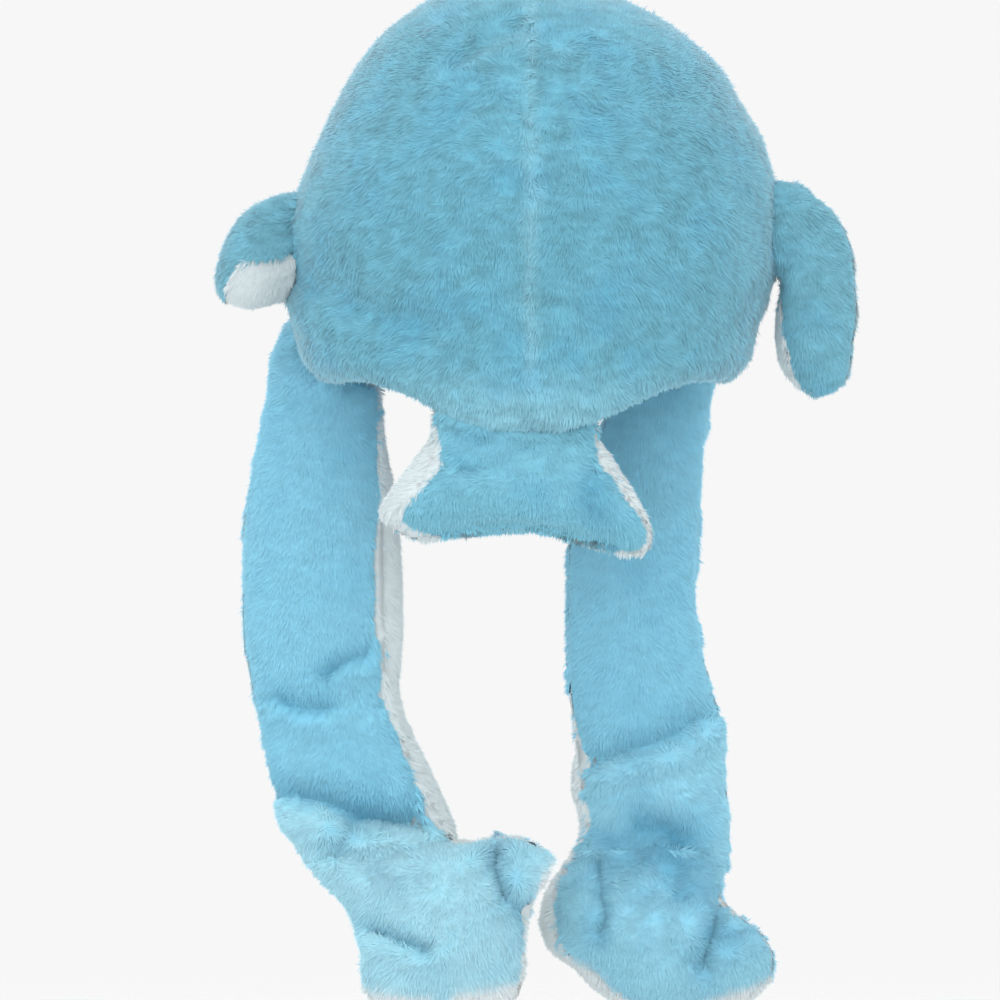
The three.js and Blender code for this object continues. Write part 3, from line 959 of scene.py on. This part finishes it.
    def painted_light_share(self) -> np.ndarray:
        """Return how far each point takes the paler colour of painted light: below the cuff's line,
        if any.
        """
        if not self.cuff:
            return np.full(len(self.cover), self.pale)
        share = np.clip(0.5 + self.below(self.cuff) / self.cuff_fade, 0.0, 1.0)
        return share * self.cuff_light + self.pale

    def white_share(self) -> np.ndarray:
        """Return how far each point is white: past the panel's white edge, if any."""
        if not self.white_edge:
            return np.zeros(len(self.cover))
        return np.clip(0.5 + self.below(self.white_edge) / self.white_fade, 0.0, 1.0)

    def combed(self) -> np.ndarray:
        """Return which way the pile is combed: along the panel and over its back's edge."""
        comb = np.tile(np.array(self.flow), (len(self.out), 1))
        turned_under = np.clip(-SEWING.under_fade * self.out[:, 2], 0.0, 1.0)
        last = SEWING.comb_from + SEWING.comb_under * turned_under
        past = np.clip((last - self.out[:, 1]) / SEWING.comb_fade, 0.0, 1.0)
        comb[:, 1] += self.over_edge * past
        return comb

    def ruffled(self) -> np.ndarray:
        """Return how ruffled the pile is at each point: fully below the cuff, if any."""
        if not self.cuff:
            return np.ones(len(self.cover))
        share = np.clip(self.below(self.cuff) / self.ruffle_fade, 0.0, 1.0)
        return self.smooth + (1.0 - self.smooth) * share

    def soft_normals(self) -> np.ndarray:
        """Return the normals that the pile is lit by, evened out over the seams."""
        normals = self.normals()
        turned = np.sum(normals * self.out, axis=1)
        share = np.clip((turned - SEWING.lit_from) / SEWING.lit_fade, 0.0, 1.0)
        own = (share * SEWING.lit_most)[:, None]
        soft = normals * own + self.out * (1.0 - own)
        return soft / (np.linalg.norm(soft, axis=1)[:, None] + 1e-9)

    def dress(self, tree: PileTree, finishes: dict[str, bpy.types.Material]) -> None:
        """Lay the pile, attach the panel to the root body and hide its CAD solid.

        Args:
            tree: The tree that grows the pile.
            finishes: The materials by name.
        """
        shade = self.press()
        mesh = self.piece.data
        share = self.pile_share()
        stored = {
            "pile_cover": share,
            "soft_normal": self.soft_normals(),
            "fold_shade": shade,
            "painted_light_share": self.painted_light_share(),
            "white_share": self.white_share(),
            "comb": self.combed(),
            "ruffle": self.ruffled(),
        }
        for name, values in stored.items():
            self._store(name, values)
        mesh.materials.append(finishes[self.finish.name])
        self.line(finishes)
        area = 0.0
        backing = 0
        for face in mesh.polygons:
            area += face.area * float(np.mean(share[list(face.vertices)]))
            backing += len(face.vertices) - 2
        density = max(0, self.triangles - backing) / area
        tree.grow(self.piece, self.pile, density, self.seed, finishes[self.finish.name])
        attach(self.piece, "root")
        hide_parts(self.node)
        count = sum(len(p.vertices) - 2 for p in self.piece.data.polygons)
        log.info("%s: %d triangles, %.2f strands a mm2", self.piece.name, count, density / 1e6)

    def line(self, finishes: dict[str, bpy.types.Material]) -> None:
        """Leave the panel without a lining; the crown has one."""

    def _store(self, name: str, values: np.ndarray) -> None:
        """Store a number or a vector on each point of the panel."""
        kind, key = ("FLOAT", "value") if values.ndim == 1 else ("FLOAT_VECTOR", "vector")
        stored = self.piece.data.attributes.new(name, kind, "POINT")
        stored.data.foreach_set(key, values.astype(np.float32).ravel())


@dataclass
class CrownPanel(Panel):
    """One half of the padded crown, round the hollow for the head."""

    hollow_width: float = 0.176
    hollow_depth: float = 0.204
    hollow_top: float = 0.020
    wall_turn: float = 0.25
    wall_reach: float = 1.35
    seam_width: float = 0.0035
    # Painted highlight along the middle seam's ridge, and painted light on the band above the rim
    # where the pile catches the light
    seam_highlight: float = 0.30
    rim_from: float = -0.168
    rim_fade: float = 0.035
    rim_light: float = 0.40
    hollow: np.ndarray | None = None

    def pile_share(self) -> np.ndarray:
        """Return the pile's density: none inside the hollow."""
        places, normals = self.places(), self.normals()
        wide = places[:, 0] / (0.5 * self.hollow_width)
        deep = places[:, 1] / (0.5 * self.hollow_depth)
        span = np.hypot(wide, deep)
        inward = -(normals[:, 0] * places[:, 0] + normals[:, 1] * places[:, 1])
        inward /= np.hypot(places[:, 0], places[:, 1]) + 1e-6
        low = places[:, 2] < self.hollow_top
        walls = (inward > self.wall_turn) & (span < self.wall_reach) & low
        roof = (span < 1.0) & (normals[:, 2] < 0.0) & low
        self.hollow = walls | roof
        return self.cover * np.where(self.hollow, 0.0, 1.0)

    def painted_light_share(self) -> np.ndarray:
        """Return how far the pile takes painted light: a painted highlight along the middle seam
        and painted light above the rim.
        """
        places = self.places()
        seam = self.seam_highlight * np.exp(-((places[:, 0] / self.seam_width) ** 2))
        rim = self.rim_light * np.clip((self.rim_from - places[:, 2]) / self.rim_fade, 0.0, 1.0)
        return np.maximum(seam, rim)

    def line(self, finishes: dict[str, bpy.types.Material]) -> None:
        """Line the hollow."""
        mesh = self.piece.data
        mesh.materials.append(finishes["hollow_lining"])
        for face in mesh.polygons:
            if all(self.hollow[i] for i in face.vertices):
                face.material_index = 1


# Sub-assemblies


@dataclass
class Crown:
    """The padded crown, sewn from a left and a right half."""

    wardrobe: Wardrobe
    triangles: int = 190000
    pile: Pile = Pile()
    creases: tuple[Crease, ...] = ()

    def panels(self) -> list[Panel]:
        """Lay out the crown's two halves."""
        return [
            CrownPanel(
                node="crown_" + side,
                cloth=Cloth.CROWN,
                finish=self.wardrobe.crown,
                triangles=self.triangles,
                pile=self.pile,
                goes_on="crown_" + other,
                creases=self.creases,
                seed=seed,
            )
            for side, other, seed in (("left", "right", 11), ("right", "left", 12))
        ]


@dataclass
class Limb:
    """A stuffed limb, sewn from a blue outer panel and a white underside."""

    name: str
    finish: PileFinish
    underside: PileFinish
    seed: int
    outer_triangles: int
    under_triangles: int
    pile: Pile
    voxel: float = 0.005
    flow: Point = (0.0, 0.0, -1.0)
    creases: tuple[Crease, ...] = ()
    goes_on: str | None = None
    # Painted light: how far the limb's outer panel is painted paler
    pale: float = 0.0
    cuff: tuple[Spot, ...] = ()
    cuff_light: float = 0.8
    white_edge: tuple[Spot, ...] = ()
    under_pile: Pile = Pile(length=0.0055, swirl=1.0, stray=0.34)

    def panels(self) -> list[Panel]:
        """Lay out the limb's two panels."""
        shared = {"voxel": self.voxel, "flow": self.flow}
        outer = Panel(
            node=self.name + "_outer",
            cloth=Cloth.BLUE,
            finish=self.finish,
            triangles=self.outer_triangles,
            seed=self.seed,
            pile=self.pile,
            creases=self.creases,
            pale=self.pale,
            cuff=self.cuff,
            cuff_light=self.cuff_light,
            white_edge=self.white_edge,
            goes_on=self.goes_on + "_outer" if self.goes_on else None,
            **shared,
        )
        under = Panel(
            node=self.name + "_underside",
            cloth=Cloth.WHITE,
            finish=self.underside,
            triangles=self.under_triangles,
            seed=self.seed + 1,
            pile=self.under_pile,
            goes_on=self.goes_on + "_underside" if self.goes_on else None,
            **shared,
        )
        return [outer, under]


@dataclass
class Arm(Limb):
    """A long hanging arm, with smoother pile combed down it."""

    outer_triangles: int = 84000
    under_triangles: int = 54000
    pile: Pile = Pile(length=0.0064, stray=0.38)


@dataclass
class Paw(Limb):
    """The wide paw at an arm's end, with longer ruffled pile."""

    outer_triangles: int = 54000
    under_triangles: int = 32000
    pile: Pile = Pile(length=0.0066, swirl_size=0.016)
    # Painted light: the paw is painted paler, as its upturned top catches the light
    pale: float = 0.8


@dataclass
class Flipper(Limb):
    """A side flipper, its blue back over a white underside."""

    outer_triangles: int = 21000
    under_triangles: int = 14000
    pile: Pile = Pile(swirl=1.3, swirl_size=0.016)
    voxel: float = 0.004
    # Painted light: the flipper is painted a little paler
    pale: float = 0.1


@dataclass
class TailFin(Limb):
    """The forked tail under the rim at the back."""

    outer_triangles: int = 48000
    under_triangles: int = 28000
    pile: Pile = Pile(length=0.0062, swirl=1.5, swirl_size=0.016)
    voxel: float = 0.004


def stuff(panels: Sequence[Panel], frames: int = 20, pressure: float = 4.0) -> None:
    """Blow the panels up together with a cloth simulation, between their seams.

    Args:
        panels: The panels, cut but not dressed.
        frames: How many frames the simulation runs.
        pressure: The air pressure inside.
    """
    scene = bpy.context.scene
    starts = []
    for panel in panels:
        piece = panel.piece
        starts.append(panel.places())
        sewn = piece.vertex_groups.new(name="sewn")
        held = np.flatnonzero(panel.pinned())
        sewn.add([int(i) for i in held], 1.0, "REPLACE")
        cloth = piece.modifiers.new("Stuffing", "CLOTH")
        cloth.settings.use_pressure = True
        cloth.settings.uniform_pressure_force = pressure
        cloth.settings.effector_weights.gravity = 0.0
        cloth.settings.vertex_group_mass = "sewn"
        cloth.collision_settings.use_collision = False
        cloth.point_cache.frame_start = 1
        cloth.point_cache.frame_end = frames
    for step in range(1, frames + 1):
        scene.frame_set(step)
    graph = bpy.context.evaluated_depsgraph_get()
    for panel, start in zip(panels, starts):
        piece = panel.piece
        blown = vectors(piece.evaluated_get(graph).data.vertices, "co")
        piece.modifiers.clear()
        piece.vertex_groups.clear()
        panel.blown_up(start, blown)
    scene.frame_set(1)


# Studio


@dataclass
class Studio:
    """The plain pale floor, the soft light and the camera."""

    camera_place: Point = (-0.0174, -3.0, -0.2494)
    focal_length: float = 186.2
    floor_height: float = -0.70
    floor_radius: float = 4.0
    floor_fades: tuple[float, float] = (0.9, 2.2)
    paper: Colour = (0.72, 0.72, 0.72)
    ground: Colour = (0.93, 0.93, 0.93)
    room_light: float = 1.3
    lamp_place: Point = (-0.4, -2.6, -0.15)
    lamp_aim: Point = (0.0, 0.0, -0.25)
    lamp_size: tuple[float, float] = (2.0, 1.6)
    lamp_energy: float = 14.0

    def build(self) -> None:
        """Make the floor, the light and the camera."""
        self._floor()
        self._light()
        self._camera()

    def _floor(self) -> None:
        """Lay a round pale floor that fades out at its edge."""
        work = bmesh.new()
        bmesh.ops.create_circle(work, cap_ends=True, segments=96, radius=self.floor_radius)
        bmesh.ops.translate(work, verts=work.verts, vec=(0.0, 0.0, self.floor_height))
        mesh = bpy.data.meshes.new("studio_floor")
        work.to_mesh(mesh)
        work.free()
        floor = bpy.data.objects.new("studio_floor", mesh)
        bpy.context.scene.collection.objects.link(floor)
        material, board, place = new_material("studio_paper")
        flat = place * (1.0, 1.0, 0.0)
        far = board.wire("ShaderNodeVectorMath", {"operation": "LENGTH"}, {0: flat}, "Value")
        start, end = self.floor_fades
        solid = board.wire(
            "ShaderNodeMapRange",
            {"interpolation_type": "SMOOTHSTEP"},
            {"Value": far, "From Min": start, "From Max": end, "To Min": 1.0, "To Max": 0.0},
        )
        board.surface({"Base Color": self.paper, "Roughness": 0.9, "Alpha": solid})
        mesh.materials.append(material)

    def _light(self) -> None:
        """Light the hat with a pale room and one large soft lamp."""
        world = bpy.data.worlds.new("studio_room")
        bpy.context.scene.world = world
        world.use_nodes = True
        board = Board(world.node_tree)
        shown = board.wire("ShaderNodeBackground", None, {"Color": self.ground, "Strength": 1.0})
        lights = board.wire(
            "ShaderNodeBackground", None, {"Color": (1.0, 1.0, 1.0), "Strength": self.room_light}
        )
        seen = board.wire("ShaderNodeLightPath", output="Is Camera Ray")
        room = board.wire("ShaderNodeMixShader", None, {0: seen, 1: lights, 2: shown})
        board.add("ShaderNodeOutputWorld", None, {"Surface": room})
        lamp = bpy.data.lights.new("soft_lamp", "AREA")
        lamp.shape = "RECTANGLE"
        lamp.size, lamp.size_y = self.lamp_size
        lamp.energy = self.lamp_energy
        holder = bpy.data.objects.new("soft_lamp", lamp)
        holder.location = self.lamp_place
        aim = Vector(self.lamp_aim) - holder.location
        holder.rotation_euler = aim.to_track_quat("-Z", "Y").to_euler()
        bpy.context.scene.collection.objects.link(holder)

    def _camera(self) -> None:
        """Stand the camera level behind the hat, as the photograph was taken."""
        data = bpy.data.cameras.new("photo_camera")
        data.sensor_width = 36.0
        data.lens = self.focal_length
        data.clip_end = 50.0
        camera = bpy.data.objects.new("photo_camera", data)
        camera.location = self.camera_place
        camera.rotation_euler = (math.radians(90.0), 0.0, 0.0)
        bpy.context.scene.collection.objects.link(camera)
        bpy.context.scene.camera = camera
        bpy.context.scene.view_settings.view_transform = "Standard"


# The hat's folds and white edges, seen from behind
# Each fold is its path, then its depth, width, lip and shade

CROWN_CREASES = (
    Crease(((-0.003, 0.019), (-0.023, 0.009), (-0.043, -0.002)), 0.003, 0.007, 0.0, 0.2),
    Crease(
        ((-0.135, -0.124), (-0.107, -0.136), (-0.082, -0.148), (-0.062, -0.154)),
        0.005, 0.012, 0.002, 0.3,
    ),
)
TAIL_CREASES = (
    Crease(((-0.060, -0.232), (-0.044, -0.230), (-0.030, -0.233)), 0.003, 0.004, 0.001, 0.7),
    Crease(((0.040, -0.222), (0.030, -0.240), (0.034, -0.252)), 0.002, 0.005, 0.0, 0.5),
)
LEFT_ARM_CREASES = (
    Crease(((-0.118, -0.350), (-0.108, -0.342), (-0.092, -0.338)), 0.004, 0.006, 0.001, 0.8),
    Crease(((-0.144, -0.366), (-0.133, -0.370), (-0.119, -0.370)), 0.004, 0.006, 0.001, 0.7),
    Crease(
        ((-0.134, -0.422), (-0.117, -0.425), (-0.098, -0.433), (-0.080, -0.436), (-0.050, -0.438)),
        0.009, 0.009, 0.006, 1.0,
    ),
    Crease(((-0.104, -0.437), (-0.108, -0.445), (-0.112, -0.453)), 0.003, 0.005, 0.0, 0.5),
)
RIGHT_ARM_CREASES = (
    Crease(
        ((0.037, -0.403), (0.062, -0.395), (0.085, -0.388), (0.099, -0.378)),
        0.006, 0.008, 0.005, 0.5,
    ),
    Crease(
        ((0.048, -0.446), (0.066, -0.453), (0.080, -0.456), (0.090, -0.464)), 0.002, 0.006, 0.0, 0.8
    ),
    Crease(((0.066, -0.439), (0.079, -0.441), (0.088, -0.448)), 0.005, 0.008, 0.0, 1.0),
)
LEFT_PAW_CREASES = (
    Crease(((-0.020, -0.447), (-0.020, -0.462), (-0.016, -0.474)), 0.007, 0.005, 0.0, 1.0),
    Crease(((-0.016, -0.474), (-0.005, -0.483), (-0.002, -0.489)), 0.004, 0.005, 0.0, 0.7),
    Crease(((-0.089, -0.497), (-0.074, -0.501), (-0.060, -0.506)), 0.006, 0.005, 0.002, 0.9),
)
RIGHT_PAW_CREASES = (
    Crease(((0.060, -0.452), (0.080, -0.456), (0.092, -0.466)), 0.001, 0.009, 0.0, 0.9),
    Crease(((0.093, -0.468), (0.091, -0.478)), 0.003, 0.007, 0.0, 0.8),
    Crease(
        ((0.041, -0.460), (0.042, -0.481), (0.045, -0.492), (0.042, -0.498)), 0.006, 0.004, 0.0, 1.0
    ),
    Crease(
        ((0.114, -0.484), (0.108, -0.498), (0.103, -0.511), (0.102, -0.521)), 0.008, 0.006, 0.0, 1.0
    ),
    Crease(((0.102, -0.514), (0.112, -0.505), (0.124, -0.502)), 0.003, 0.006, 0.0, 0.7),
)
LEFT_PAW_WHITE = (
    (-0.096, -0.527),
    (-0.054, -0.532),
    (-0.051, -0.537),
    (-0.043, -0.529),
    (-0.008, -0.525),
    (-0.006, -0.505),
    (-0.001, -0.487),
    (0.002, -0.464),
    (0.012, -0.457),
)
RIGHT_PAW_WHITE = (
    (0.010, -0.470),
    (0.0175, -0.513),
    (0.031, -0.516),
    (0.0435, -0.526),
    (0.061, -0.544),
    (0.085, -0.551),
    (0.103, -0.5375),
    (0.145, -0.524),
)


@dataclass
class PlushHat:
    """The whole hat, from its crown to its paws."""

    wardrobe: Wardrobe = field(default_factory=Wardrobe)

    def limbs(self) -> list[Crown | Limb]:
        """Return the hat's sub-assemblies in the order in which they are made."""
        wardrobe = self.wardrobe
        shared = {"underside": wardrobe.white}
        return [
            Crown(wardrobe, creases=CROWN_CREASES),
            Flipper("flipper_left", wardrobe.crown, flow=(-0.5, 0.0, -1.0), seed=71, **shared),
            Flipper("flipper_right", wardrobe.crown, flow=(0.4, 0.0, -1.0), seed=75, **shared),
            TailFin("tail", wardrobe.tail, seed=91, creases=TAIL_CREASES, **shared),
            Arm(
                "arm_left", wardrobe.limb, seed=31, creases=LEFT_ARM_CREASES,
                cuff=LEFT_ARM_CREASES[2].path, goes_on="paw_left", **shared,
            ),
            Arm(
                "arm_right", wardrobe.limb, seed=35, creases=RIGHT_ARM_CREASES,
                cuff=RIGHT_ARM_CREASES[0].path, cuff_light=0.25, goes_on="paw_right", **shared,
            ),
            Paw(
                "paw_left", wardrobe.limb, seed=51, creases=LEFT_PAW_CREASES,
                white_edge=LEFT_PAW_WHITE, goes_on="arm_left", **shared,
            ),
            Paw(
                "paw_right", wardrobe.limb, seed=55, creases=RIGHT_PAW_CREASES,
                # The right paw takes still more painted light
                white_edge=RIGHT_PAW_WHITE, pale=0.35, goes_on="arm_right", **shared,
            ),
        ]

    def build(self) -> None:
        """Cut, stuff and dress every panel."""
        finishes = {finish.name: finish.material() for finish in vars(self.wardrobe).values()}
        panels = [panel for limb in self.limbs() for panel in limb.panels()]
        for panel in panels:
            panel.cut()
        stuff(panels)
        log.info("stuffed %d panels", len(panels))
        tree = PileTree()
        for panel in panels:
            panel.dress(tree, finishes)


def main() -> None:
    """Build the studio and the hat."""
    logging.basicConfig(level=logging.INFO, format="%(name)s: %(message)s")
    Studio().build()
    PlushHat().build()


if __name__ == "__main__":
    main()
